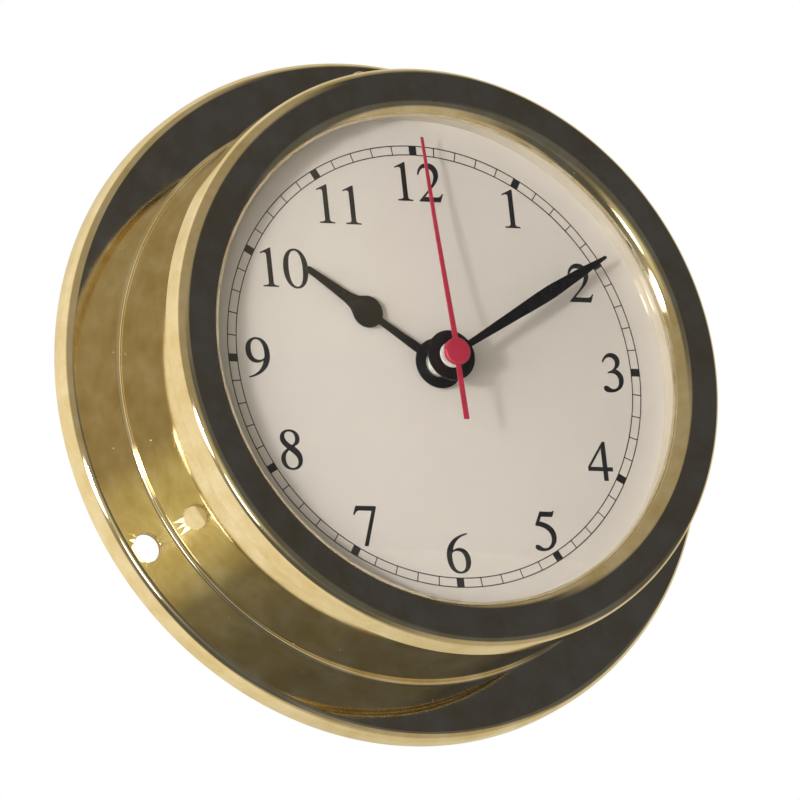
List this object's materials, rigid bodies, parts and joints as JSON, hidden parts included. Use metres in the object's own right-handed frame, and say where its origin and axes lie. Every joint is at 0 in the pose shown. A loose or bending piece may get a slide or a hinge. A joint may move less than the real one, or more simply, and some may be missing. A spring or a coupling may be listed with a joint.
{
  "type": "bulkhead clock",
  "caption": "Round brass bulkhead clock: flanged case, push-on bezel with domed glass, white dial, three hands and a battery movement with its working wheel train.",
  "frame": {"origin": "centre of the wall plane, on the axis of the hands", "axes": "+Y into the wall, so the dial faces -Y; +Z towards 12 o'clock; +X towards 3 o'clock"},
  "size_m": [0.127, 0.0344, 0.127],
  "materials": {
    "brass": "mirror polished and lacquered",
    "rubber": "matt",
    "glass": "clear",
    "dial_paint": "satin off-white",
    "plated_steel": "zinc plated",
    "black_moulding": "fine moulded texture",
    "natural_plastic": "satin",
    "white_acetal": "smooth moulded",
    "magnet": "ground",
    "copper": "enamelled winding",
    "laminate": "resin bonded",
    "battery_jacket": "satin film",
    "black_enamel": "gloss black",
    "red_enamel": "satin crimson"
  },
  "bodies": {
    "case": {"case_shell": "brass", "seat_ring": "brass", "dial_plate": "dial_paint", "movement_carrier": "plated_steel", "fixing_washer": "plated_steel", "fixing_nut": "brass", "movement_base": "black_moulding", "movement_cover": "black_moulding", "mid_plate": "natural_plastic", "stator": "plated_steel", "coil": "copper", "circuit_board": "laminate", "quartz_can": "plated_steel", "contact_positive": "plated_steel", "contact_negative": "plated_steel"},
    "bezel": {"bezel_ring": "brass", "bezel_seal": "rubber", "crystal": "glass", "crystal_gasket": "rubber", "reflector_ring": "brass"},
    "seconds": {"second_wheel": "white_acetal", "second_hand": "red_enamel"},
    "minutes": {"minute_wheel": "white_acetal", "minute_hand": "black_enamel"},
    "hours": {"hour_wheel": "white_acetal", "hour_hand": "black_enamel"},
    "rotor_shaft": {"rotor": "magnet"},
    "intermediate_shaft": {"intermediate_wheel": "white_acetal"},
    "third_shaft": {"third_wheel": "white_acetal"},
    "motion_shaft": {"motion_wheel": "white_acetal"},
    "knob_shaft": {"setting_knob": "black_moulding"},
    "cell": {"battery": "battery_jacket"}
  },
  "joints": [
    {"name": "second_spin", "type": "hinge", "parent": "case", "child": "seconds", "pos_m": [0, 0, 0], "axis": [0, 1, 0], "continuous": true},
    {"name": "rotor_spin", "type": "hinge", "parent": "case", "child": "rotor_shaft", "pos_m": [0.01487, 0, 0.01188], "axis": [0, 1, 0], "continuous": true},
    {"name": "intermediate_spin", "type": "hinge", "parent": "case", "child": "intermediate_shaft", "pos_m": [0.01015, 0, 0.00369], "axis": [0, 1, 0], "continuous": true},
    {"name": "third_spin", "type": "hinge", "parent": "case", "child": "third_shaft", "pos_m": [-0.006, 0, 0.00825], "axis": [0, 1, 0], "continuous": true},
    {"name": "minute_spin", "type": "hinge", "parent": "case", "child": "minutes", "pos_m": [0, 0, 0], "axis": [0, 1, 0], "continuous": true},
    {"name": "motion_spin", "type": "hinge", "parent": "case", "child": "motion_shaft", "pos_m": [-0.009, 0, 0], "axis": [0, 1, 0], "continuous": true},
    {"name": "hour_spin", "type": "hinge", "parent": "case", "child": "hours", "pos_m": [0, 0, 0], "axis": [0, 1, 0], "continuous": true},
    {"name": "knob_spin", "type": "hinge", "parent": "case", "child": "knob_shaft", "pos_m": [-0.01786, 0, -0.00156], "axis": [0, 1, 0], "continuous": true},
    {"name": "bezel_pull", "type": "slide", "parent": "case", "child": "bezel", "axis": [0, -1, 0], "range_m": [0, 0.012]},
    {"name": "battery_lift", "type": "slide", "parent": "case", "child": "cell", "axis": [0, 1, 0], "range_m": [0, 0.018]}
  ],
  "couplings": [
    {"joint": "rotor_spin", "follows": "second_spin", "ratio": 30},
    {"joint": "intermediate_spin", "follows": "second_spin", "ratio": -5},
    {"joint": "third_spin", "follows": "second_spin", "ratio": -0.13333},
    {"joint": "minute_spin", "follows": "second_spin", "ratio": 0.016667},
    {"joint": "motion_spin", "follows": "second_spin", "ratio": -0.0055556},
    {"joint": "hour_spin", "follows": "second_spin", "ratio": 0.0013889},
    {"joint": "knob_spin", "follows": "second_spin", "ratio": 0.016667}
  ]
}
